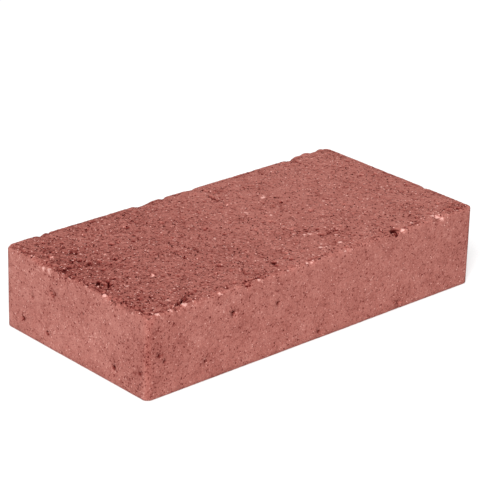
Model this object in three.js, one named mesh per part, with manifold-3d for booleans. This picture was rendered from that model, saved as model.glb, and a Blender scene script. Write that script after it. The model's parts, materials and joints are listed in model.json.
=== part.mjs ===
// A concrete paving stone: one rectangular block, pressed from dry concrete in a steel mould.
// The bed face is as sharp as the mould left it. The arris round the wearing face is worn,
// chipped and pitted. Millimetres: +X along the length, +Y across the width, +Z up from the
// bed face, with the origin at the middle of the bed face.

import * as THREE from "three";
import { mergeVertices } from "three/addons/utils/BufferGeometryUtils.js";
import Module from "manifold-3d";

// Driving dimensions of the block.
const LENGTH = 200;
const WIDTH = 100;
const THICKNESS = 40;
const CORNER_RADIUS = 3;
const WEARING_ARRIS = 1.2;
const BED_ARRIS = 0.5;

// Crumbling all along the worn arris: one bite in each pitch, each a little off its place.
// Each side scales its bites by its own `crumbling`.
const CRUMB_PITCH = 6.5;
const CRUMB_LENGTH = 6;
const CRUMB_REACH = 1.3;
const CRUMB_DROP = 0.75;
const CRUMB_SCATTER = 0.35;

// Lips that the tamper squeezed up beside the mould wall, on the back arris. `place` runs from
// -1 to 1 along the side, and `height` is above the wearing face.
const LIP_BREADTH = 3;
const LIP_INSET = 0.7;
const lips = [
  { place: 0.79, length: 9, height: 0.3 },
  { place: 0.84, length: 8, height: 0.75 },
  { place: 0.94, length: 6, height: 0.45 },
];

// Coarse grains that came loose from the wearing face: at most one in each pitch, and most
// of them towards the left end, where the sand lies open.
const GRAIN_PITCH = 12;
const GRAIN_ACROSS = 2.4;
const GRAIN_DEPTH = 1.1;
const GRAIN_SCATTER = 0.3;
const GRAIN_CHANCE = { middle: 0.55, left: 0.3 };

// Cracks in the wearing face, as the points that they run through. `x` and `y` run from -1
// to 1 across the face.
const CRACK_BREADTH = 1.3;
const CRACK_DEPTH = 1.6;
const CRACK_OVERLAP = 0.6;
const cracks = [
  [[-0.88, -0.955], [-0.82, -0.94], [-0.79, -0.915], [-0.755, -0.9], [-0.725, -0.845], [-0.66, -0.82]],
  [[-0.96, -0.22], [-0.935, -0.165], [-0.92, -0.21], [-0.915, -0.29]],
  [[0.09, 0.6], [0.105, 0.74]],
];

// How rough the broken surfaces are, and how many facets they have.
const BREAK_ROUGHNESS = 0.16;
const CHIP_FACETS = 3;
const SMALL_FACETS = 1;
const GRAIN_FACETS = 0;
const CORNER_STEPS = 5;
const ARRIS_STEPS = 3;

// How far off the arris the middle of a chip's lump lies, in chip reaches and drops.
// At 0 the break is hollow like a bite; further out it is flatter, like a bevel.
const CHIP_STANDOFF = 0.6;

// Chips along the wearing arris. `place` is where the chip lies on its side, from -1 at one
// corner to 1 at the other; `length` runs along the arris, `reach` goes in across the wearing
// face and `drop` goes down the joint face.
const chips = [
  { side: "front", place: -0.83, length: 5, reach: 1.6, drop: 2.4 },
  { side: "front", place: -0.73, length: 9, reach: 2.2, drop: 1.2 },
  { side: "front", place: -0.44, length: 4.5, reach: 1.8, drop: 2.2 },
  { side: "front", place: -0.18, length: 5, reach: 2.2, drop: 1.4 },
  { side: "front", place: -0.06, length: 6.5, reach: 2, drop: 1.8 },
  { side: "front", place: 0.17, length: 6, reach: 2.2, drop: 1.2 },
  { side: "front", place: 0.48, length: 6.5, reach: 3.4, drop: 2 },
  { side: "front", place: 0.525, length: 4, reach: 1.5, drop: 1.9 },
  { side: "front", place: 0.77, length: 8, reach: 3.4, drop: 1.8 },
  { side: "left", place: -0.6, length: 26, reach: 2.8, drop: 2.3 },
  { side: "left", place: 0, length: 11, reach: 1.8, drop: 1.2 },
  { side: "left", place: 0.46, length: 19, reach: 2.3, drop: 1.9 },
  { side: "back", place: -0.815, length: 5.4, reach: 2.7, drop: 1.5 },
  { side: "back", place: -0.215, length: 13, reach: 2.6, drop: 1.5 },
  { side: "back", place: -0.09, length: 5, reach: 2, drop: 1.2 },
  { side: "back", place: 0.08, length: 8, reach: 1.9, drop: 1.1 },
  { side: "back", place: 0.725, length: 6, reach: 2.7, drop: 1.6 },
  { side: "right", place: -0.38, length: 5, reach: 1.9, drop: 1.2 },
];

// Upright corners knocked off, seen from above: `reach` goes in along the diagonal.
const knocks = [
  { x: -1, y: -1, length: 15, reach: 4.2, drop: 2.4 },
  { x: -1, y: 1, length: 13, reach: 3.2, drop: 2 },
  { x: 1, y: 1, length: 6.5, reach: 2.4, drop: 2.3 },
  { x: 1, y: -1, length: 7, reach: 2, drop: 1.2 },
];

// Pits that air and loose grains left in the wearing face. `x` and `y` run from -1 to 1
// across the face.
const wearingPits = [
  { x: 0.485, y: -0.96, across: 4.4, depth: 2.6 },
  { x: 0.18, y: -0.94, across: 2.2, depth: 1 },
  { x: -0.2, y: -0.82, across: 2.6, depth: 1.3 },
  { x: -0.405, y: -0.56, across: 3, depth: 1.1 },
  { x: -0.535, y: -0.94, across: 2.2, depth: 1.1 },
  { x: 0.125, y: 0.86, across: 2.6, depth: 1 },
  { x: -0.46, y: 0.64, across: 2.8, depth: 1.1 },
  { x: -0.82, y: 0.465, across: 3, depth: 1.4 },
  { x: -0.865, y: 0.34, across: 3.2, depth: 1.3 },
  { x: -0.845, y: 0.175, across: 2.2, depth: 1.1 },
  { x: -0.89, y: 0.585, across: 2.2, depth: 0.9 },
  { x: -0.97, y: -0.575, across: 2, depth: 0.9 },
  { x: 0.31, y: 0.2, across: 2.4, depth: 0.9 },
  { x: 0.5, y: -0.72, across: 2, depth: 0.8 },
  { x: 0.87, y: -0.91, across: 2.8, depth: 1 },
];

// Pits in the two joint faces that stood against the mould. `place` runs from -1 to 1 along
// the face, and `height` is up from the bed face.
const jointPits = [
  { side: "left", place: 0.32, height: 27.7, across: 2.8, depth: 1 },
  { side: "left", place: 0.6, height: 20.5, across: 1.8, depth: 0.8 },
  { side: "left", place: -0.56, height: 8.4, across: 2.2, depth: 0.9 },
  { side: "left", place: 0.38, height: 7.3, across: 2, depth: 0.8 },
  { side: "left", place: 0.74, height: 7.9, across: 2.8, depth: 0.9 },
  { side: "front", place: -0.51, height: 27.6, across: 3, depth: 1 },
  { side: "front", place: 0.53, height: 3, across: 2.4, depth: 0.9 },
];

// Which way each side faces: the turn of its inward normal from +Y. The back and right
// arrises left the mould sounder than the other two.
const sides = {
  front: { turn: 0, across: WIDTH, run: LENGTH, crumbling: 0.9 },
  right: { turn: Math.PI / 2, across: LENGTH, run: WIDTH, crumbling: 0.6 },
  back: { turn: Math.PI, across: WIDTH, run: LENGTH, crumbling: 0.65 },
  left: { turn: -Math.PI / 2, across: LENGTH, run: WIDTH, crumbling: 0.9 },
};

const wasm = await Module();
wasm.setup();

// A closed three.js geometry as a solid that can be joined and cut.
function solidOf(geometry) {
  const bare = new THREE.BufferGeometry();
  bare.setAttribute("position", geometry.getAttribute("position"));
  if (geometry.index) bare.setIndex(geometry.index);
  const merged = mergeVertices(bare, 1e-4);
  const vertProperties = merged.getAttribute("position").array;
  const triVerts = new Uint32Array(merged.index.array);
  return new wasm.Manifold(new wasm.Mesh({ numProp: 3, vertProperties, triVerts }));
}

// The triangles of a solid as a three.js geometry.
function geometryOf(solid) {
  const mesh = solid.getMesh();
  const geometry = new THREE.BufferGeometry();
  geometry.setAttribute("position", new THREE.BufferAttribute(mesh.vertProperties, 3));
  geometry.setIndex(new THREE.BufferAttribute(mesh.triVerts, 1));
  return geometry;
}

// Even numbers from 0 to 1 that come out the same on every run.
function makeDice(seed) {
  let state = seed;
  return () => {
    state = (Math.imul(state, 1664525) + 1013904223) >>> 0;
    return state / 2 ** 32;
  };
}

const dice = makeDice(1947);

// The inside of the mould, seen from above.
function mouldOutline() {
  const x = LENGTH / 2 - CORNER_RADIUS;
  const y = WIDTH / 2 - CORNER_RADIUS;
  const outline = new THREE.Shape();
  outline.absarc(x, y, CORNER_RADIUS, 0, Math.PI / 2);
  outline.absarc(-x, y, CORNER_RADIUS, Math.PI / 2, Math.PI);
  outline.absarc(-x, -y, CORNER_RADIUS, Math.PI, 1.5 * Math.PI);
  outline.absarc(x, -y, CORNER_RADIUS, 1.5 * Math.PI, 2 * Math.PI);
  return outline;
}

// The mould outline raised from one height to another, with both ends eased.
function easedPrism(bottom, top, ease, steps) {
  const prism = new THREE.ExtrudeGeometry(mouldOutline(), {
    depth: top - bottom - 2 * ease,
    curveSegments: CORNER_STEPS,
    bevelSize: ease,
    bevelThickness: ease,
    bevelOffset: -ease,
    bevelSegments: steps,
  });
  prism.translate(0, 0, bottom + ease);
  return solidOf(prism);
}

// A rough lump of the given half-sizes about the origin: a faceted ball whose points are
// pushed in and out.
function roughLump(halfX, halfY, halfZ, facets) {
  const ball = new THREE.IcosahedronGeometry(1, facets);
  ball.deleteAttribute("normal");
  ball.deleteAttribute("uv");
  const lump = mergeVertices(ball, 1e-4);
  const points = lump.getAttribute("position");
  const point = new THREE.Vector3();
  for (let i = 0; i < points.count; i += 1) {
    point.fromBufferAttribute(points, i);
    point.multiplyScalar(1 + BREAK_ROUGHNESS * (dice() - 0.5));
    points.setXYZ(i, point.x, point.y, point.z);
  }
  lump.scale(halfX, halfY, halfZ);
  return lump;
}

// The lump that breaks a chip out of an arris which runs along X, with +Y going in under the
// wearing face and the arris itself at the origin.
function chipLump(length, reach, drop, standoff, facets) {
  const radius = Math.hypot(1 + standoff, standoff);
  const halfLength = (length * radius) / (2 * Math.sqrt(1 + 2 * standoff));
  const lump = roughLump(halfLength, reach * radius, drop * radius, facets);
  lump.translate(0, -reach * standoff, drop * standoff);
  return lump;
}

// Moves a geometry from the arris at the origin to its side of the stone.
function toSide(geometry, side, along, height) {
  geometry.translate(along, -side.across / 2, height);
  geometry.rotateZ(side.turn);
  return geometry;
}

// A place on a side, from -1 to 1, as a distance along it. Front and back count along +X, and
// left and right along +Y.
function alongSide(name, place) {
  const backwards = name === "back" || name === "left";
  return ((backwards ? -place : place) * sides[name].run) / 2;
}

function chipCuts() {
  return chips.map(({ side, place, length, reach, drop }) => {
    const lump = chipLump(length, reach, drop, CHIP_STANDOFF, CHIP_FACETS);
    return toSide(lump, sides[side], alongSide(side, place), THICKNESS);
  });
}

// The small bites that leave no stretch of the wearing arris straight.
function crumbCuts() {
  return Object.values(sides).flatMap((side) => {
    const run = side.run - 2 * CORNER_RADIUS;
    const count = Math.max(1, Math.round(run / CRUMB_PITCH));
    return Array.from({ length: count }, (_, i) => {
      const size = side.crumbling * (1 + CRUMB_SCATTER * (2 * dice() - 1));
      const along = run * ((i + dice()) / count - 0.5);
      const lump = chipLump(
        CRUMB_LENGTH * size,
        CRUMB_REACH * size,
        CRUMB_DROP * size,
        CHIP_STANDOFF,
        SMALL_FACETS,
      );
      return toSide(lump, side, along, THICKNESS);
    });
  });
}

function knockCuts() {
  return knocks.map(({ x, y, length, reach, drop }) => {
    const lump = chipLump(length, reach, drop, CHIP_STANDOFF, CHIP_FACETS);
    lump.rotateZ(Math.atan2(-y, -x) - Math.PI / 2);
    lump.translate((x * LENGTH) / 2, (y * WIDTH) / 2, THICKNESS);
    return lump;
  });
}

function wearingPitCuts() {
  return wearingPits.map(({ x, y, across, depth }) => {
    const pit = roughLump(across / 2, across / 2, depth, SMALL_FACETS);
    return pit.translate((x * LENGTH) / 2, (y * WIDTH) / 2, THICKNESS);
  });
}

// The hollows of loose coarse grains, one or none in each square of the wearing face.
function grainCuts() {
  const columns = Math.round(LENGTH / GRAIN_PITCH);
  const rows = Math.round(WIDTH / GRAIN_PITCH);
  return Array.from({ length: columns * rows }, (_, i) => {
    const x = (2 * ((i % columns) + dice())) / columns - 1;
    const y = (2 * (Math.floor(i / columns) + dice())) / rows - 1;
    const size = 1 + GRAIN_SCATTER * (2 * dice() - 1);
    const across = GRAIN_ACROSS * size;
    const lost = dice() < GRAIN_CHANCE.middle - GRAIN_CHANCE.left * x;
    const pit = roughLump(across / 2, across / 2, GRAIN_DEPTH * size, GRAIN_FACETS);
    pit.translate((x * LENGTH) / 2, (y * WIDTH) / 2, THICKNESS);
    return lost ? pit : null;
  }).filter(Boolean);
}

// One long thin lump for each stretch of a crack, overlapping the next.
function crackCuts() {
  return cracks.flatMap((points) => {
    const route = points.map(([x, y]) => new THREE.Vector2((x * LENGTH) / 2, (y * WIDTH) / 2));
    return route.slice(1).map((end, i) => {
      const stretch = end.clone().sub(route[i]);
      const middle = end.clone().add(route[i]).multiplyScalar(0.5);
      const halfLength = stretch.length() / 2 + CRACK_OVERLAP;
      const groove = roughLump(halfLength, CRACK_BREADTH / 2, CRACK_DEPTH, GRAIN_FACETS);
      groove.rotateZ(stretch.angle());
      return groove.translate(middle.x, middle.y, THICKNESS);
    });
  });
}

function jointPitCuts() {
  return jointPits.map(({ side, place, height, across, depth }) => {
    const pit = roughLump(across / 2, depth, across / 2, SMALL_FACETS);
    return toSide(pit, sides[side], alongSide(side, place), height);
  });
}

// The lumps that stand up as lips on the back arris, rooted below its rounding.
function lipLumps() {
  return lips.map(({ place, length, height }) => {
    const root = THICKNESS - WEARING_ARRIS;
    const lump = roughLump(length / 2, LIP_BREADTH / 2, height + WEARING_ARRIS, CHIP_FACETS);
    lump.translate(0, LIP_INSET, 0);
    return toSide(lump, sides.back, alongSide("back", place), root);
  });
}

function cutFrom(solid, cuts) {
  return cuts.reduce((left, cut) => left.subtract(solidOf(cut)), solid);
}

// The stone as it left the mould: eased and crumbled round the wearing face, almost sharp at
// the bed face, with the lips standing on its back arris and flush with the mould wall.
function mouldedStone() {
  const eased = easedPrism(-THICKNESS, THICKNESS, WEARING_ARRIS, ARRIS_STEPS);
  const crumbled = cutFrom(eased, crumbCuts());
  const lipped = lipLumps().reduce((solid, lump) => solid.add(solidOf(lump)), crumbled);
  return lipped.intersect(easedPrism(0, 2 * THICKNESS, BED_ARRIS, 1));
}

const breaks = [...chipCuts(), ...knockCuts(), ...crackCuts()];
const pits = [...wearingPitCuts(), ...grainCuts(), ...jointPitCuts()];
const stone = cutFrom(mouldedStone(), [...breaks, ...pits]);

const concrete = new THREE.MeshStandardMaterial({
  color: 0xab6a61,
  roughness: 0.92,
  metalness: 0,
});
concrete.name = "concrete";

const pavingStone = new THREE.Mesh(geometryOf(stone), concrete);
pavingStone.name = "paving_stone";

const part = new THREE.Group();
part.add(pavingStone);

export default part;
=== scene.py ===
import json
import math
import random

import bpy
from mathutils import Matrix, Quaternion, Vector, kdtree, noise
from mathutils.bvhtree import BVHTree


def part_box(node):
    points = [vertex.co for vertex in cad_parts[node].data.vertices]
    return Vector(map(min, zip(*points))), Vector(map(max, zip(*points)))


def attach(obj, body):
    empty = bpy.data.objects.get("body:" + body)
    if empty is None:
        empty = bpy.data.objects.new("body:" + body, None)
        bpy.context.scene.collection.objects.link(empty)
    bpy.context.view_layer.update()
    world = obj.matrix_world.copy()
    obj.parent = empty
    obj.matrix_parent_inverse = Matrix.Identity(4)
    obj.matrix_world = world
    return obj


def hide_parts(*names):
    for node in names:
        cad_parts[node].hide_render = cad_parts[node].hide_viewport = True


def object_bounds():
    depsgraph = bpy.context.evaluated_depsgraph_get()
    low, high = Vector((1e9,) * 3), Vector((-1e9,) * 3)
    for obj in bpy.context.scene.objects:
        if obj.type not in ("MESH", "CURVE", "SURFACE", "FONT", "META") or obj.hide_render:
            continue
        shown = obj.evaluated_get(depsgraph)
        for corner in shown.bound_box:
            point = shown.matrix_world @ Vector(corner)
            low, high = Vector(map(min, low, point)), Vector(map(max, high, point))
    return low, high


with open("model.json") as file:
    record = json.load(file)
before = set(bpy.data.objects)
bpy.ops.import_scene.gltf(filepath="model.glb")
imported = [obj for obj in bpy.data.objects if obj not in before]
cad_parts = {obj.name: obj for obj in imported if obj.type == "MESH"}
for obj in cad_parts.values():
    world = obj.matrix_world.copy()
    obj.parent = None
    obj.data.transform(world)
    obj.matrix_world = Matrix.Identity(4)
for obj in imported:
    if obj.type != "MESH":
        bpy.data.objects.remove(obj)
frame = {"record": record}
solid_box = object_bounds()


# ---- The paving stone ----------------------------------------------------------------------
# One block of dry concrete coloured through with red oxide, shaken and pressed in a steel
# mould. The joint faces are smooth cement skin with pores and drag marks, the wearing face is
# open sand grain, and the arris between them has crumbled and chipped.

# The stone's sizes and places are in millimetres. Its origin is the middle of the bed, and
# x runs along it from left to right, y across it from front to back, and z up.
MM = 0.001
STONE = "paving_stone"
HALF_LENGTH = solid_box[1].x / MM
HALF_WIDTH = solid_box[1].y / MM
TOP = solid_box[1].z / MM
mounts = {mount["name"]: mount["pos_m"] for mount in frame["record"]["mounts"]}
WEARING_LEVEL = mounts["wearing_face"][2] / MM

# The lattice that is pressed onto the solid. Each of its points looks for the solid along one
# line, from this far outside to this far inside.
LATTICE_SPACING = 0.5
LATTICE_ROUNDING = 1.2
MOULD_ROUNDING = 3.0
REACH_OUT = 4.0
REACH_IN = 9.0

# How far each of them is then drawn to the middle of its neighbours, once.
EASE = 0.5

# The flat map of the six sides in one square. For the side at one end of an axis: its left
# and bottom in the square, the axes that run across it and up it, and its scale.
NET_SIZE = 244.0
NET_PLACES = {
    (2, 1): (1, 1, 0, 1, 1.0),
    (1, 0): (1, 103, 0, 2, 1.0),
    (1, 1): (1, 146, 0, 2, 1.0),
    (2, 0): (1, 190, 0, 1, 0.5),
    (0, 0): (203, 1, 2, 1, 1.0),
    (0, 1): (203, 104, 2, 1, 1.0),
}

# How the lattice is thinned once it is carved: the triangles that it keeps at most, and how
# strongly each side is thinned, by which way its points face.
MOST_TRIANGLES = 197000
THIN_WEARING = 0.0
THIN_JOINT = 0.45
THIN_BED = 1.0
THIN_PULL = 0.012
FACES_UP = 0.5

# Where a joint face turns into the wearing face or the bed, as the upward or downward share
# of the way a point faces.
TURN = (0.55, 0.85)

# The skin is sunk a little everywhere, so that nothing stands out of the solid. The flat of
# the wearing face is raised again inside the arris, because its grain is cut down from there.
SKIN = 0.08
PROUD = 0.35
PROUD_INSET = 5.0

# Long swells over the whole block, and drag marks that the mould left up the joint faces.
SWELL_SIZE = 24.0
SWELL_DEPTH = 0.12
DRAG_BREADTH = 1.1
DRAG_LENGTH = 30.0
DRAG_DEPTH = 0.04

# Two layers of sand: the size of a grain, how deep the gaps between grains are, how much
# deeper it is where a grain is lost, and the share of lost grains, everywhere and added where
# the sand lies open.
FINE_SIZE = 0.95
FINE_DEPTH = 0.8
FINE_LOSS = 0.4
FINE_LOST = 0.02
FINE_LOST_OPEN = 0.2
COARSE_SIZE = 2.6
COARSE_DEPTH = 0.4
COARSE_LOSS = 0.45
COARSE_LOST = 0.01
COARSE_LOST_OPEN = 0.13

# How much of a layer's depth is left where the sand lies closed, and how much of the fine
# layer is left on smooth skin: its lost grains, its gaps, its hollows and their painted shade.
FINE_CLOSED = 0.6
COARSE_CLOSED = 0.4
SKIN_LOST = 0.3
SKIN_GAPS = 0.1
SKIN_HOLLOWS = 0.5
SKIN_SHADE = 0.4

# One grain: how much of its depth is its round top, the least depth of its hollow, and where
# the hollow's edge fades. Three seeds give it numbers of its own.
ROUND_TOP = 0.35
LEAST_HOLLOW = 0.4
HOLLOW_EDGE = (0.6, 1.0)
LOSS_SEED = 37.0
HOLLOW_SEED = 91.0
LEVEL_SEED = 53.0

# Every edge is shifted to and fro by this noise, and the edge of a pale spot more than others.
# Its seed is set because noise_vector() takes its offsets from the clock otherwise.
RAGGED_SIZE = 0.8
RAGGED_SHIFT = 0.3
RAGGED_SEED = 7
FRESH_SHIFT = 1.6

# The crumbled band on both sides of the worn arris, and how far below the moulded block the
# surface lies where a piece has broken away.
ARRIS_CORE = 0.8
ARRIS_BAND = 2.4
BROKEN = (0.25, 0.7)

# How rough the bed, a break and the arris are, next to the wearing face at 1, how much
# smoother the arris is where it is broken, and how much painted shade its hollows lose there.
BED_ROUGH = 0.3
BREAK_ROUGH = 0.6
ARRIS_ROUGH = 0.5
BREAK_EASE = 0.5
BREAK_SHADE_LOSS = 0.7

# The upright corner at the front left was knocked off, and the break has worn smooth.
SMOOTH_CORNER = Vector((-HALF_LENGTH, -HALF_WIDTH, 38))
SMOOTH_REACH = 13.0
SMOOTH_CORE = 0.7
SMOOTH_BREAK = (0.1, 0.5)
SMOOTH_EASE = 0.85

# The corner at the left end of the back arris is worn down.
WORN_CORNER = Vector((-HALF_LENGTH, HALF_WIDTH, WEARING_LEVEL))
WORN_REACH = 11.0
WORN_DEPTH = 0.8

# The right and back arrises left the mould sound: relief is weaker in a band along them.
SOUND_BAND = 3.0
SOUND_SHARE = 0.45

# That band and a crack keep their full strength up to this share of their breadth.
BAND_CORE = 0.3

# The line that the tamper's rim pressed just inside the arris, in broken stretches.
SCORE_INSET = 2.4
SCORE_CORE = 0.2
SCORE_BREADTH = 0.6
SCORE_DEPTH = 0.35
SCORE_STRETCH = 9.0
SCORE_SEED = 3.0
SCORE_GAPS = (-0.1, 0.25)

# How much painted shade each kind of hollow gets, next to the darkest at 1. A pit of the
# wearing face gets more painted shade with its depth, clear of the arris. A single lost grain
# has this painted shade on smooth skin, and is among the darkest in rough sand.
COARSE_SHADE = 0.4
SCORE_SHADE = 0.4
CRACK_SHADE = 0.75
PIT_SHADE = 0.5
PIT_DEPTH = (0.5, 1.0)
PIT_INSET = (ARRIS_BAND, PROUD_INSET)
LOST_SHADE = 0.6

# Where the sand lies more open than elsewhere, or less: a drift over the whole block, and
# patches of it, each with its middle, radius and share added.
OPEN_EVERYWHERE = 0.08
OPEN_DRIFT = 0.4
OPEN_DRIFT_SIZE = 13.0
OPEN_PATCHES = [
    (Vector((-97, 4, 52)), 38, 0.75),
    (Vector((-92, -34, 48)), 28, 0.4),
    (Vector((-90, 28, 48)), 28, 0.33),
    (Vector((-60, -40, 40)), 25, -0.4),
    (Vector((-50, 22, 40)), 20, -0.3),
    (Vector((14, -34, 40)), 26, 0.22),
    (Vector((70, 26, 40)), 34, -0.25),
    (Vector((46, -46, 40)), 12, 0.35),
    (Vector((88, -44, 40)), 12, 0.3),
    (Vector((-97, -50, 21)), 23, 0.9),
    (Vector((-100, -34, 5)), 20, 0.8),
    (Vector((-100, 36, 8)), 11, 0.5),
    (Vector((-100, 17, 26)), 7, 0.35),
    (Vector((-50, -50, 28)), 7, 0.5),
    (Vector((-65, -50, 8)), 14, 0.35),
    (Vector((-20, -50, 26)), 14, 0.25),
    (Vector((52, -50, 4)), 14, 0.5),
    (Vector((96, -50, 22)), 16, 0.35),
]

# Cracks in the wearing face, as the points that they run through, seen from above. No point of
# a crack lies farther from its second point than the span, along x or along y.
CRACK_BREADTH = 0.8
CRACK_DEPTH = 0.9
CRACK_STRETCH = 1.1
CRACK_GAPS = (-0.3, 0.2)
CRACK_SPAN_X = 20
CRACK_SPAN_Y = 9
CRACKS = [
    [
        (-88, -47.9),
        (-82.4, -47.2),
        (-79, -45.9),
        (-75.6, -45.2),
        (-73, -42.4),
        (-69.8, -42.5),
        (-66, -41),
    ],
    [
        (-94.6, -11.4),
        (-93.2, -8.4),
        (-90.6, -9.2),
        (-89.8, -11.4),
        (-91.4, -14.4),
        (-93.4, -15.2),
    ],
    [(9.0, 29.6), (9.3, 33.0), (10.3, 36.6)],
    [(12.2, 43.6), (12.6, 46.6)],
]

# The hollows of lost grains that stand out, and how deep one is in radii. On the wearing
# face: x, y and radius.
LOST_DEPTH = 0.9
LOST_ON_WEARING_FACE = [
    # along the long crack near the front corner
    (-79.5, -46.5, 1.1), (-75.5, -45, 1.5), (-70, -43, 1.0), (-67, -42, 1.1),
    # round the crack at the left end
    (-92.5, -8.5, 1.0), (-93, -12, 1.3), (-89.5, -10.5, 1.2), (-91, -13.5, 1.3),
    # in the open sand of the left half
    (-82, 23, 1.5), (-87, 16.5, 1.4), (-85.5, 14.5, 1.2), (-84.5, 8.5, 1.4),
    (-72, 6, 1.3), (-63, 20, 1.3), (-53, 17, 1.1), (-45, 31, 1.4), (-88.5, -30, 0.7),
    # towards the front arris
    (-53.5, -47.5, 0.8), (-40.5, -28, 1.5), (-19.5, -40.5, 1.2), (-21, -43.5, 1.2),
    (-11, -42.5, 1.2), (22, -24.5, 1.1), (31.5, 10, 1.0), (49.5, -47.8, 2.1),
    # near the right end of the front arris
    (86, -45, 1.0), (86.5, -47, 1.1), (91, -43.5, 0.7), (92, -47, 0.7),
    # along the short cracks at the back
    (9.5, 35.5, 1.1), (9, 32.5, 1.1), (9, 30, 1.0), (13, 41, 1.1),
]
# On the front joint face: x, z and radius.
LOST_ON_FRONT_FACE = [
    (-43.5, 38.5, 0.7), (-51, 28, 0.8), (-93, 20, 1.0), (-90, 16.5, 0.9),
    (-67, 9.5, 0.9), (-25, 25, 0.9), (1, 3.5, 1.0), (51.5, 3.5, 1.0),
]
# On the left joint face: y, z and radius.
LOST_ON_LEFT_FACE = [
    (15, 26.5, 0.8), (13.5, 28, 0.8), (30, 21, 0.6), (19.5, 7, 1.0),
    (37, 8, 0.9), (-27.5, 8, 1.0), (-45, 12, 0.9),
]

# The pale spots that stand out, in the same way: fresh sand where grains broke off, and on
# the crumbs of the arris partly a painted highlight. On the arris: x, y, z and radius.
FRESH_ON_WEARING_FACE = [
    (-99.3, -8, 1.0), (-99.2, -20.2, 1.3), (-92.5, 26, 1.2), (-86, -19, 1.1), (-70, -17, 0.9),
    (-19, -28, 0.7), (-7, -49.3, 0.9), (8.5, -41, 1.1), (9.5, -22, 1.0), (9.5, 10.5, 0.8),
    (12.5, -12, 0.8), (15.5, -26.5, 1.1), (16.5, 1, 0.9), (19.5, -42, 1.1), (24.5, -34.5, 0.9),
    (28.5, 19.5, 1.2), (62, -46, 1.0), (75.5, -46.5, 1.0),
]
FRESH_ON_FRONT_FACE = [(-12, 14, 0.9)]
FRESH_ON_ARRIS = [
    # along the left end
    (-99.6, 22, 38, 1.0), (-99.5, 18.3, 38.8, 1.3), (-99.3, -40, 38.5, 0.9),
    (-99, -45.5, 39, 0.9),
    # along the front
    (-94, -49, 39.6, 1.1), (-87, -49, 39.6, 0.8), (-78.5, -48.5, 39.8, 1.7),
    (-59.5, -49.6, 39.8, 0.8), (-36.5, -49.6, 39.8, 1.1), (-19, -49.8, 39.8, 0.8),
    (-4.8, -49.6, 39.8, 0.9), (16, -49.5, 39.5, 0.9), (53, -49.4, 39.8, 1.1),
    (77.5, -48, 39.8, 1.3), (78.5, -49.5, 39.2, 1.3),
]

# The many small ones, scattered over the wearing face: places tried, smallest and largest.
SCATTER_SEED = 3
SCATTERED_LOST = (260, 0.6, 1.1)
SCATTERED_FRESH = (150, 0.55, 1.0)


def blend(low, high, value):
    """0 below low, 1 above high, and an S curve between them."""
    share = min(1.0, max(0.0, (value - low) / (high - low)))
    return share * share * (3.0 - 2.0 * share)


def fade(core, rim, gap):
    """1 within the core, 0 past the rim, and an S curve between them."""
    return 1.0 - blend(core, rim, gap)


def band(breadth, gap):
    """1 near the middle of a band, 0 past its breadth."""
    return fade(BAND_CORE * breadth, breadth, gap)


def lifted(least, share):
    """A weight that grows from its least value to 1 with the share."""
    return least + (1.0 - least) * share


def wave(place):
    """Soft noise from 0 to 1."""
    return 0.5 + 0.5 * noise.noise(place)


def net_place(axis, end, cell, steps, size):
    """Where a point of the lattice lies in the flat map."""
    left, bottom, across, up, scale = NET_PLACES[axis, end]
    u = left + scale * size[across] * cell[across] / steps[across]
    v = bottom + scale * size[up] * cell[up] / steps[up]
    return u / NET_SIZE, v / NET_SIZE


def box_lattice(low, high):
    """Points, facings, quads and flat map of a rounded box whose sides share their edges."""
    steps = [round((high[k] - low[k]) / LATTICE_SPACING) for k in range(3)]
    inner_low = low + Vector((LATTICE_ROUNDING,) * 3)
    inner_high = high - Vector((LATTICE_ROUNDING,) * 3)
    index = {}
    points = []
    facings = []

    def corner(cell):
        if cell not in index:
            index[cell] = len(points)
            flat = Vector([low[k] + (high[k] - low[k]) * cell[k] / steps[k] for k in range(3)])
            core = Vector([min(max(flat[k], inner_low[k]), inner_high[k]) for k in range(3)])
            facing = (flat - core).normalized()
            points.append(core + facing * LATTICE_ROUNDING)
            facings.append(facing)
        return index[cell]

    quads = []
    mapped = []
    for axis in range(3):
        across, up = (axis + 1) % 3, (axis + 2) % 3
        for end in (0, 1):
            for i in range(steps[across]):
                for j in range(steps[up]):
                    ring = [(i, j), (i + 1, j), (i + 1, j + 1), (i, j + 1)]
                    if end == 0:
                        ring.reverse()
                    cells = []
                    for a, b in ring:
                        cell = [0, 0, 0]
                        cell[axis] = end * steps[axis]
                        cell[across] = a
                        cell[up] = b
                        cells.append(tuple(cell))
                    quads.append([corner(cell) for cell in cells])
                    mapped.extend(net_place(axis, end, cell, steps, high - low) for cell in cells)
    return points, facings, quads, mapped


def edge_gap(place):
    """How far inside the plan of the block a place lies."""
    return min(HALF_LENGTH - abs(place.x), HALF_WIDTH - abs(place.y))


def soundness(place):
    """1 along the right and back arrises, 0 away from them."""
    return band(SOUND_BAND, min(HALF_LENGTH - place.x, HALF_WIDTH - place.y))


def openness(place):
    """How open the sand lies here, from 0 to 1."""
    drift = noise.noise(place / OPEN_DRIFT_SIZE, noise_basis="PERLIN_ORIGINAL")
    share = OPEN_DRIFT * drift + OPEN_EVERYWHERE
    for middle, radius, added in OPEN_PATCHES:
        gap = (place - middle).length
        if gap < radius:
            share += added * fade(0.0, radius, gap)
    return min(1.0, max(0.0, share))


class Marks:
    """Places of single grains, and how near one of them a point is."""

    CORE = 0.65
    RIM = 1.1

    def __init__(self, marks):
        self.radii = [radius for middle, radius in marks]
        self.tree = kdtree.KDTree(len(marks))
        for index, (middle, radius) in enumerate(marks):
            self.tree.insert(middle, index)
        self.tree.balance()
        self.reach = self.RIM * max(self.radii)

    def felt(self, place):
        """Nearness from 0 to 1, and the radius of the grain."""
        share, size = 0.0, 0.0
        for middle, index, gap in self.tree.find_range(place, self.reach):
            radius = self.radii[index]
            near = fade(self.CORE * radius, self.RIM * radius, gap)
            if near > share:
                share, size = near, radius
        return share, size


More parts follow.
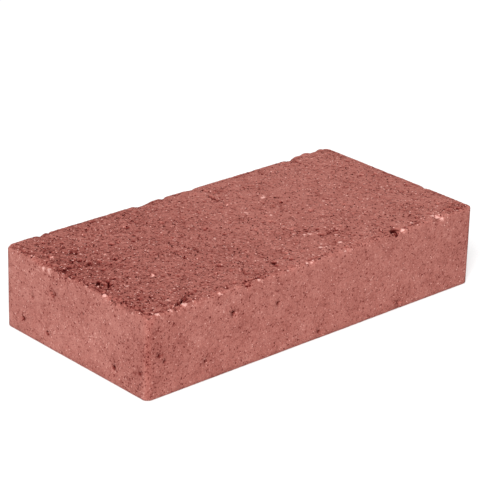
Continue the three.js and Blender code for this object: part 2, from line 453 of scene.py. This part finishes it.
def on_faces(wearing, front=(), left=(), arris=()):
    """Marks on the block, each from its place in its own face."""
    marks = [(Vector((x, y, WEARING_LEVEL)), radius) for x, y, radius in wearing]
    marks += [(Vector((x, -HALF_WIDTH, z)), radius) for x, z, radius in front]
    marks += [(Vector((-HALF_LENGTH, y, z)), radius) for y, z, radius in left]
    marks += [(Vector((x, y, z)), radius) for x, y, z, radius in arris]
    return marks


dice = random.Random(SCATTER_SEED)


def scattered(tries, smallest, largest):
    """Marks all over the wearing face, most of them small and where the sand lies open."""
    marks = []
    for _ in range(tries):
        x = dice.uniform(-HALF_LENGTH, HALF_LENGTH)
        y = dice.uniform(-HALF_WIDTH, HALF_WIDTH)
        place = Vector((x, y, WEARING_LEVEL))
        radius = smallest + (largest - smallest) * dice.random() ** 2
        if dice.random() < openness(place) and edge_gap(place) > ARRIS_BAND:
            marks.append((place, radius))
    return marks


lost_grains = Marks(
    on_faces(LOST_ON_WEARING_FACE, LOST_ON_FRONT_FACE, LOST_ON_LEFT_FACE)
    + scattered(*SCATTERED_LOST)
)
fresh_and_highlight_grains = Marks(
    on_faces(FRESH_ON_WEARING_FACE, FRESH_ON_FRONT_FACE, arris=FRESH_ON_ARRIS)
    + scattered(*SCATTERED_FRESH)
)


noise.seed_set(RAGGED_SEED)


def own_number(crown, seed):
    """A number from 0 to 1 that belongs to one grain."""
    return 0.5 + 0.5 * noise.cell(crown * seed)


def sand(place, size, loss_share):
    """A layer of grains: how low the surface lies on each, and where one is lost."""
    gaps, crowns = noise.voronoi(place / size)
    crown = crowns[0]
    rim = gaps[0] / gaps[1]
    lost = 0.0
    if own_number(crown, LOSS_SEED) < loss_share:
        lost = lifted(LEAST_HOLLOW, own_number(crown, HOLLOW_SEED)) * fade(*HOLLOW_EDGE, rim)
    # The cube leaves most grains high and a few low.
    low = ROUND_TOP * rim * rim + (1.0 - ROUND_TOP) * own_number(crown, LEVEL_SEED) ** 3
    return low, lost


def sand_relief(place, rough, open_share):
    """Both layers of sand: their depth, the painted shade of their hollows, and how low a grain
    lies.
    """
    lost_share = (FINE_LOST + FINE_LOST_OPEN * open_share) * lifted(SKIN_LOST, rough)
    low, lost = sand(place, FINE_SIZE, lost_share)
    depth = FINE_DEPTH * low * lifted(SKIN_GAPS, rough) * lifted(FINE_CLOSED, open_share)
    depth += FINE_LOSS * lost * lifted(SKIN_HOLLOWS, rough)
    hollow = lost * lifted(SKIN_SHADE, rough)
    if rough > 0.0:
        level, lost = sand(place, COARSE_SIZE, COARSE_LOST + COARSE_LOST_OPEN * open_share)
        gaps = COARSE_DEPTH * level * lifted(COARSE_CLOSED, open_share)
        depth += rough * (gaps + COARSE_LOSS * lost)
        hollow = max(hollow, COARSE_SHADE * rough * lost)
    return depth, hollow, low


def score(place, wearing):
    """1 in the scored line of the wearing face, 0 clear of it and in its gaps."""
    line = fade(SCORE_CORE, SCORE_BREADTH, abs(edge_gap(place) - SCORE_INSET))
    along = Vector((place.x / SCORE_STRETCH, place.y / SCORE_STRETCH, SCORE_SEED))
    return line * (wearing * blend(*SCORE_GAPS, noise.noise(along)))


def crack(place):
    """1 in the middle of a crack, 0 clear of it."""
    share = 0.0
    here = place.to_2d()
    for points in CRACKS:
        x, y = points[1]
        if abs(here.x - x) < CRACK_SPAN_X and abs(here.y - y) < CRACK_SPAN_Y:
            for start, end in zip(points, points[1:]):
                start, end = Vector(start), Vector(end)
                along = end - start
                t = min(1.0, max(0.0, (here - start).dot(along) / along.length_squared))
                share = max(share, band(CRACK_BREADTH, (here - start - along * t).length))
    return share


def line_relief(place, ragged, wearing):
    """The scored line and the cracks of the wearing face: their depth, and their painted shade.
    """
    scored = score(place, wearing)
    cracked = crack(ragged) * blend(*CRACK_GAPS, noise.noise(place / CRACK_STRETCH))
    shade = max(SCORE_SHADE * scored, CRACK_SHADE * cracked)
    return SCORE_DEPTH * scored + CRACK_DEPTH * cracked, shade


def mould_relief(place, joint):
    """Depth of the swells, and of the drag marks up the joint faces."""
    up_face = Vector((place.x / DRAG_BREADTH, place.y / DRAG_BREADTH, place.z / DRAG_LENGTH))
    return SWELL_DEPTH * wave(place / SWELL_SIZE) + DRAG_DEPTH * joint * wave(up_face)


def wear(place, wearing, joint, sunk):
    """How much a point is in the crumbled arris, in a break, and in the smoothed corner."""
    arris = joint * fade(ARRIS_CORE, ARRIS_BAND, TOP - place.z)
    arris = max(arris, wearing * fade(ARRIS_CORE, ARRIS_BAND, edge_gap(place)))
    smoothed = fade(SMOOTH_CORE, 1.0, (place - SMOOTH_CORNER).length / SMOOTH_REACH)
    return arris, blend(*BROKEN, sunk), smoothed * blend(*SMOOTH_BREAK, sunk)


def relief(place, flat_place, facing, sunk):
    """Depth below the skin, and what the finish needs to know here."""
    wearing = blend(*TURN, facing.z)
    bed = blend(*TURN, -facing.z)
    joint = 1.0 - wearing - bed
    open_share = openness(place)
    arris, broken, smoothed = wear(place, wearing, joint, sunk)
    rough = max(
        wearing * (1.0 - BREAK_EASE * broken * arris),
        BED_ROUGH * bed,
        BREAK_ROUGH * broken,
        ARRIS_ROUGH * arris,
    )
    rough *= 1.0 - SMOOTH_EASE * smoothed

    shift = RAGGED_SHIFT * noise.noise_vector(place / RAGGED_SIZE)
    grain, hollow, low = sand_relief(place + shift, rough, open_share)
    if wearing > 0.0:
        lines, shade = line_relief(place, flat_place + shift, wearing)
        grain += lines
        hollow = max(hollow, shade)
    missing, size = lost_grains.felt(flat_place + shift)
    grain += LOST_DEPTH * size * missing
    grain *= 1.0 - (1.0 - SOUND_SHARE) * soundness(place)

    # Painted shade: pits, the scored line, cracks and lost grains are darkened in colour, as
    # shadow would darken them, and fresh sand takes that painted shade away.
    pit = PIT_SHADE * wearing * (1.0 - smoothed) * blend(*PIT_DEPTH, sunk)
    pit *= blend(*PIT_INSET, edge_gap(place))
    # Fresh sand is pale, and on the lit crumbs of the arris its paleness is partly a painted
    # highlight.
    fresh = fresh_and_highlight_grains.felt(flat_place + FRESH_SHIFT * shift)[0]
    hollow *= 1.0 - BREAK_SHADE_LOSS * broken * arris
    hollow = max(hollow, pit, missing * lifted(LOST_SHADE, rough)) * (1.0 - fresh)

    worn = WORN_DEPTH * wearing * fade(0.0, WORN_REACH, (place - WORN_CORNER).length)
    proud = PROUD * wearing * blend(0.0, PROUD_INSET, edge_gap(place))
    depth = mould_relief(place, joint) + grain + worn - proud
    return depth, hollow, low, open_share, rough, fresh


def apply_modifiers(piece):
    """Turns a piece's modifiers into the shape of its mesh."""
    graph = bpy.context.evaluated_depsgraph_get()
    shaped = bpy.data.meshes.new_from_object(
        piece.evaluated_get(graph), preserve_all_data_layers=True, depsgraph=graph
    )
    piece.modifiers.clear()
    piece.data = shaped


def worked_surface(solid):
    """The lattice pressed onto the solid, then eased where the solid has facets."""
    low, high = (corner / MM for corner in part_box(STONE))
    high.z -= TOP - WEARING_LEVEL
    tree = BVHTree.FromPolygons(
        [v.co / MM for v in solid.data.vertices],
        [p.vertices[:] for p in solid.data.polygons],
    )
    points, facings, quads, mapped = box_lattice(low, high)
    pressed = []
    sunk = []
    for point, facing in zip(points, facings):
        hit = tree.ray_cast(point + facing * REACH_OUT, -facing, REACH_OUT + REACH_IN)[0]
        pressed.append(hit or point)
        # The mould's rounding cuts deeper than the lattice's, and that gap is no break.
        cut_corner = max(0.0, abs(facing.x) + abs(facing.y) - 1.0)
        eased = (MOULD_ROUNDING - LATTICE_ROUNDING) * cut_corner
        sunk.append((point - pressed[-1]).dot(facing) - eased)
    mesh = bpy.data.meshes.new("worn_stone")
    mesh.from_pydata(pressed, [], quads)
    net = mesh.uv_layers.new(name="OFBake")
    net.uv.foreach_set("vector", [number for pair in mapped for number in pair])
    surface = bpy.data.objects.new("worn_stone", mesh)
    bpy.context.collection.objects.link(surface)
    ease = surface.modifiers.new("ease", "SMOOTH")
    ease.factor = EASE
    ease.iterations = 1
    apply_modifiers(surface)
    return surface, points, facings, sunk


def carve(piece, flat_places, facings, sunk):
    """Sinks the grain, pits and pores into the surface and notes what the finish needs."""
    mesh = piece.data
    low, high = (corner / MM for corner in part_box(STONE))
    notes = []
    normals = [vertex.normal.copy() for vertex in mesh.vertices]
    for index, vertex in enumerate(mesh.vertices):
        place = vertex.co.copy()
        depth, *felt = relief(place, flat_places[index], facings[index], sunk[index])
        carved = place - normals[index] * (SKIN + depth)
        vertex.co = [min(max(carved[k], low[k]), high[k]) for k in range(3)]
        notes.append(felt)
    for name, values in zip(("hollow", "low", "open", "rough", "fresh"), zip(*notes)):
        mesh.attributes.new(name, "FLOAT", "POINT").data.foreach_set("value", values)


def thin_out(piece, facings):
    """Fewer triangles, most of them kept for the wearing face and fewest for the bed."""
    sides = {THIN_WEARING: [], THIN_JOINT: [], THIN_BED: []}
    for index, facing in enumerate(facings):
        if facing.z > FACES_UP:
            sides[THIN_WEARING].append(index)
        elif facing.z > -FACES_UP:
            sides[THIN_JOINT].append(index)
        else:
            sides[THIN_BED].append(index)
    group = piece.vertex_groups.new(name="thinned")
    for share, members in sides.items():
        group.add(members, share, "REPLACE")
    thin = piece.modifiers.new("thin", "DECIMATE")
    thin.vertex_group = group.name
    thin.vertex_group_factor = THIN_PULL
    thin.ratio = min(1.0, MOST_TRIANGLES / (2 * len(piece.data.polygons)))
    apply_modifiers(piece)
    piece.vertex_groups.clear()


stone, flat_places, facings, sunk_depths = worked_surface(bpy.data.objects[STONE])
carve(stone, flat_places, facings, sunk_depths)
thin_out(stone, facings)
stone.data.transform(Matrix.Scale(MM, 4))
stone.data.shade_smooth()

# Colours of the concrete, as linear light, by tone: 0 is the painted shade at the bottom of a
# hollow, and 1 is fresh sand, partly a painted highlight.
TONES = {
    0.0: (0.055, 0.0035, 0.003, 1),
    0.2: (0.165, 0.023, 0.019, 1),
    0.4: (0.28, 0.073, 0.06, 1),
    0.6: (0.47, 0.168, 0.138, 1),
    0.8: (0.67, 0.305, 0.262, 1),
    1.0: (0.91, 0.51, 0.455, 1),
}

# Bare sand shows more of the pigment. The left end face is paler and greyer, and the
# wearing face is darker and stronger in contrast towards that end. Both bands are places
# along the stone, as millimetres left of its middle.
RAW_SAND_TINT = (1.0, 0.96, 0.955, 1)
PALE_LEFT_TINT = (1.03, 1.1, 1.11, 1)
PALE_LEFT_BAND = (99.0, 99.7)
DARKER_LEFT_BAND = (-10, 40)

# The finest grain, which is colour and bump only. The places where it is looked up wander to
# and fro, so that no grain has a straight edge.
WANDER_SIZE = 0.7
WANDER = 0.9
SILT_SIZE = 0.42
SAND_SIZE = 0.62
HOLE_SIZE = 0.85
PORE_SIZE = 1.2

# Spots in single grains: which grains have one, by the grain's own number, where the spot
# fades out from the grain's crown, and how many more there are where the sand lies open.
# Lost grains, dark specks and pores are small holes that get painted shade.
LOST_SPOTS = ((0.94, 0.96), (0.3, 0.5), 0.1)
DARK_SPOTS = ((0.92, 0.94), (0.35, 0.65), 0.0)
PALE_SPOTS = ((0.955, 0.97), (0.35, 0.6), 0.02)
PORE_SPOTS = ((0.93, 0.95), (0.25, 0.5), 0.1)

# Crevices between grains, in clusters, and grains of the carved sand that lie low, both of
# which get painted shade, broad blotches, and streaks up the joint faces.
CREVICE_GAP = (0.4, 0.8)
CLUSTER_SIZE = 2.4
CLUSTER = (0.48, 0.64)
LOW_GRAIN = (0.45, 0.8)
BLOTCH_SIZE = 6.0
STREAK_SCALE = (0.8, 0.8, 0.05)

# The tone of the concrete, and how far each thing moves it. A pair holds for smooth skin and
# then for rough sand.
PLAIN_TONE = (0.605, 0.628)
OPEN_TONE = (0.08, 0.12)
BLOTCH_TONE = (0.14, 0.11)
SILT_TONE = (0.2, 0.16)
CREVICE_SHADE = (0.11, 0.07)
LOST_SPOT_SHADE = (0.36, 0.86)
SPECK_SHADE = (0.24, 0.8)
PALE_TONE = (0.36, 0.62)
PORE_SHADE = 0.36
LOW_GRAIN_SHADE = 0.15
STREAK_TONE = 0.03
DARKER_LEFT_TONE = 0.045
PAINTED_SHADE_TONE = 0.58
FRESH_AND_HIGHLIGHT_TONE = 0.44

# How strong the grain's contrast is on smooth skin, what the pale left end face takes from
# it, and what rough sand, open sand and the darker left end of the wearing face add to it.
SKIN_CONTRAST = 0.74
PALE_LEFT_CONTRAST = 0.08
SAND_CONTRAST = 0.14
OPEN_CONTRAST = 0.45
DARKER_LEFT_CONTRAST = 0.55

# The finest relief, in which a lost grain is this many times as deep as a dark one, and how
# dull the surface is.
BUMP_HEIGHT = 0.2
BUMP_STRENGTH = 0.6
LOST_BUMP = 2.0
DULLNESS = 0.84
DULLNESS_SPREAD = 0.12
SHINE = 0.05


class Shade:
    """A socket of a shader tree. A sum written with it adds its Math nodes."""

    def __init__(self, tree, socket=None):
        self.tree = tree
        self.socket = socket

    def node(self, kind, settings, inputs, output=0):
        """Any node: its settings first, then the values or links of its sockets."""
        made = self.tree.nodes.new(kind)
        for name, setting in settings.items():
            if name == "stops":
                self.set_stops(made.color_ramp, setting)
            else:
                setattr(made, name, setting)
        for name, value in inputs.items():
            if isinstance(value, Shade):
                self.tree.links.new(value.socket, made.inputs[name])
            else:
                made.inputs[name].default_value = value
        return Shade(self.tree, made.outputs[output] if made.outputs else None)

    def set_stops(self, ramp, stops):
        while len(ramp.elements) < len(stops):
            ramp.elements.new(1.0)
        for element, (position, colour) in zip(ramp.elements, sorted(stops.items())):
            element.position = position
            element.color = colour

    def math(self, operation, *values):
        return self.node("ShaderNodeMath", {"operation": operation}, dict(enumerate(values)))

    def __add__(self, other):
        return self.math("ADD", self, other)

    def __sub__(self, other):
        return self.math("SUBTRACT", self, other)

    def __rsub__(self, other):
        return self.math("SUBTRACT", other, self)

    def __mul__(self, other):
        return self.math("MULTIPLY", self, other)

    __radd__ = __add__
    __rmul__ = __mul__


def blank_sheet(owner):
    """The emptied shader tree of a material or of the world."""
    owner.use_nodes = True
    owner.node_tree.nodes.clear()
    return Shade(owner.node_tree)


def concrete_finish():
    material = bpy.data.materials.new("red_concrete")
    sheet = blank_sheet(material)

    def note(name):
        """What carve() noted at each point."""
        return sheet.node("ShaderNodeAttribute", {"attribute_name": name}, {}, output="Fac")

    def above(value, low, high):
        made = {"Value": value, "From Min": low, "From Max": high}
        return sheet.node("ShaderNodeMapRange", {"interpolation_type": "SMOOTHSTEP"}, made)

    def cloud(place, size, detail=0.0, roughness=0.5, output="Fac"):
        made = {"Vector": place, "Scale": 1.0 / size, "Detail": detail, "Roughness": roughness}
        return sheet.node("ShaderNodeTexNoise", {}, made, output=output)

    def vector(operation, *values, **inputs):
        made = {**dict(enumerate(values)), **inputs}
        return sheet.node("ShaderNodeVectorMath", {"operation": operation}, made)

    def grains(place, size):
        """How far from its crown a grain is here, and a number of that grain's own."""
        made = {"Vector": place, "Scale": 1.0 / size}
        gap = sheet.node("ShaderNodeTexVoronoi", {}, made, output="Distance")
        mark = sheet.node("ShaderNodeTexVoronoi", {}, made, output="Color")
        return gap, sheet.node("ShaderNodeSeparateColor", {}, {"Color": mark}, output="Red")

    def tinted(colour, tint, share):
        settings = {"data_type": "RGBA", "blend_type": "MULTIPLY"}
        made = {"Factor": share, 6: colour, 7: tint}
        return sheet.node("ShaderNodeMix", settings, made, output=2)

    place = sheet.node("ShaderNodeTexCoord", {}, {}, output="Object")
    place = vector("SCALE", place, Scale=1.0 / MM)
    shift = vector("SUBTRACT", cloud(place, WANDER_SIZE, output="Color"), (0.5, 0.5, 0.5))
    ragged = vector("ADD", place, vector("SCALE", shift, Scale=WANDER))
    leftward = -1 * sheet.node("ShaderNodeSeparateXYZ", {}, {"Vector": place}, output="X")
    hollow = note("hollow")
    low = note("low")
    open_share = note("open")
    rough = note("rough")
    fresh = note("fresh")

    def by_face(weights):
        """A weight that has one value on smooth skin and another on rough sand."""
        smooth, sandy = weights
        return smooth + rough * (sandy - smooth)

    def spots(gap, mark, chosen, reach, more):
        """Spots in the grains whose own number is high."""
        return above(mark + open_share * more, *chosen) * (1 - above(gap, *reach))

    sand_gap, sand_mark = grains(ragged, SAND_SIZE)
    silt_mark = grains(ragged, SILT_SIZE)[1]
    lost = spots(*grains(ragged, HOLE_SIZE), *LOST_SPOTS)
    speck = spots(sand_gap, 1 - sand_mark, *DARK_SPOTS)
    pale = spots(sand_gap, sand_mark, *PALE_SPOTS)
    pore = spots(*grains(ragged, PORE_SIZE), *PORE_SPOTS) * (1 - rough)
    crevice = above(sand_gap, *CREVICE_GAP) * above(cloud(ragged, CLUSTER_SIZE), *CLUSTER)
    blotch = cloud(place, BLOTCH_SIZE, detail=1.0, roughness=0.4) - 0.5
    streak = cloud(vector("MULTIPLY", place, STREAK_SCALE), 1.0) - 0.5
    darker_left = above(leftward, *DARKER_LEFT_BAND) * rough
    pale_left_end = above(leftward, *PALE_LEFT_BAND)

    contrast = SKIN_CONTRAST - pale_left_end * PALE_LEFT_CONTRAST
    contrast = contrast + rough * (SAND_CONTRAST + open_share * OPEN_CONTRAST)
    contrast = contrast + darker_left * DARKER_LEFT_CONTRAST
    tone = by_face(PLAIN_TONE) - open_share * by_face(OPEN_TONE) - darker_left * DARKER_LEFT_TONE
    tone = tone + blotch * by_face(BLOTCH_TONE)
    tone = tone + (silt_mark - 0.5) * by_face(SILT_TONE) * contrast
    # Painted shade on the grains that lie low and in the crevices between grains.
    tone = tone - above(low, *LOW_GRAIN) * LOW_GRAIN_SHADE * contrast * rough
    tone = tone - crevice * by_face(CREVICE_SHADE) * contrast
    tone = tone + streak * STREAK_TONE * (1 - rough)
    # Painted shade in the holes of lost grains, in dark specks and in pores, less on fresh sand.
    dark = lost * by_face(LOST_SPOT_SHADE) + speck * by_face(SPECK_SHADE) + pore * PORE_SHADE
    tone = tone - dark * contrast * (1 - fresh)
    # Pale grains lift the tone, the painted shade noted in the hollows lowers it, and fresh sand,
    # partly a painted highlight, lifts it again.
    tone = tone + pale * by_face(PALE_TONE) * contrast - hollow * PAINTED_SHADE_TONE + fresh * FRESH_AND_HIGHLIGHT_TONE
    colour = sheet.node("ShaderNodeValToRGB", {"stops": TONES}, {"Fac": tone}, output="Color")
    colour = tinted(colour, RAW_SAND_TINT, rough)
    colour = tinted(colour, PALE_LEFT_TINT, pale_left_end)

    height = -1 * crevice * contrast - lost * LOST_BUMP - speck - pore
    bump = {"Strength": BUMP_STRENGTH, "Distance": BUMP_HEIGHT * MM, "Height": height}
    finish = {
        "Base Color": colour,
        "Roughness": DULLNESS + silt_mark * DULLNESS_SPREAD,
        "Normal": sheet.node("ShaderNodeBump", {}, bump),
        "Specular IOR Level": SHINE,
    }
    surface = sheet.node("ShaderNodeBsdfPrincipled", {}, finish)
    sheet.node("ShaderNodeOutputMaterial", {}, {"Surface": surface})
    return material


stone.data.materials.clear()
stone.data.materials.append(concrete_finish())
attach(stone, "root")
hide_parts(STONE)


# ---- The studio ----------------------------------------------------------------------------
# A broad white floor, a soft round lamp from the front left, and a pale room round them. The
# floor and the room show white to the camera, and the floor keeps the stone's shadow. Their
# sizes and places are in metres.

FLOOR_HALF = 6.0
FLOOR_WHITE = (0.8, 0.8, 0.8, 1)
FLOOR_GLOW = 0.42
ROOM_LEVEL = 0.38
LAMP_SIZE = 1.53
LAMP_PLACE = Vector((-2.04, -1.7, 2.21))
LAMP_WATTS = 107.0


def seen_by_camera(sheet):
    """1 for what the camera sees, straight or in gloss or glass, and 0 for what lights."""
    straight, gloss, glass = (
        sheet.node("ShaderNodeLightPath", {}, {}, output=ray)
        for ray in ("Is Camera Ray", "Is Glossy Ray", "Is Transmission Ray")
    )
    return sheet.math("MINIMUM", straight + gloss + glass, 1.0)


floor_mesh = bpy.data.meshes.new("floor")
floor_mesh.from_pydata(
    [
        (-FLOOR_HALF, -FLOOR_HALF, 0),
        (FLOOR_HALF, -FLOOR_HALF, 0),
        (FLOOR_HALF, FLOOR_HALF, 0),
        (-FLOOR_HALF, FLOOR_HALF, 0),
    ],
    [],
    [(0, 1, 2, 3)],
)
floor = bpy.data.objects.new("floor", floor_mesh)
bpy.context.collection.objects.link(floor)
floor_paint = bpy.data.materials.new("white_floor")
sheet = blank_sheet(floor_paint)
matt = sheet.node("ShaderNodeBsdfDiffuse", {}, {"Color": FLOOR_WHITE})
glow = sheet.node("ShaderNodeEmission", {}, {"Strength": seen_by_camera(sheet) * FLOOR_GLOW})
both = sheet.node("ShaderNodeAddShader", {}, {0: matt, 1: glow})
sheet.node("ShaderNodeOutputMaterial", {}, {"Surface": both})
floor_mesh.materials.append(floor_paint)

room = bpy.data.worlds.new("room")
sheet = blank_sheet(room)
seen = seen_by_camera(sheet)
level = seen + (1 - seen) * ROOM_LEVEL
sky = sheet.node("ShaderNodeBackground", {}, {"Color": (1, 1, 1, 1), "Strength": level})
sheet.node("ShaderNodeOutputWorld", {}, {"Surface": sky})
bpy.context.scene.world = room

lamp_data = bpy.data.lights.new("soft_lamp", "AREA")
lamp_data.shape = "DISK"
lamp_data.size = LAMP_SIZE
lamp_data.energy = LAMP_WATTS
lamp = bpy.data.objects.new("soft_lamp", lamp_data)
bpy.context.collection.objects.link(lamp)
lamp.location = LAMP_PLACE
lamp.rotation_mode = "QUATERNION"
lamp.rotation_quaternion = (-LAMP_PLACE).to_track_quat("-Z", "Y")

# The camera stands past the nearest upright corner with a long lens, a little rolled. Its
# place, aim, lens and sensor are in millimetres, and its roll is in degrees.
CAMERA_PLACE = Vector((-634.28, -690.86, 430.45)) * MM
CAMERA_AIM = Vector((17.37, 22.57, 20.0)) * MM
CAMERA_ROLL = 1.55
CAMERA_LENS = 165.672
CAMERA_SENSOR = 36.0

camera_data = bpy.data.cameras.new("camera")
camera_data.lens = CAMERA_LENS
camera_data.sensor_width = CAMERA_SENSOR
camera = bpy.data.objects.new("camera", camera_data)
bpy.context.collection.objects.link(camera)
camera.location = CAMERA_PLACE
sight = (CAMERA_AIM - CAMERA_PLACE).to_track_quat("-Z", "Y")
camera.rotation_mode = "QUATERNION"
camera.rotation_quaternion = sight @ Quaternion((0, 0, 1), math.radians(CAMERA_ROLL))
bpy.context.scene.camera = camera
bpy.context.scene.view_settings.view_transform = "Standard"
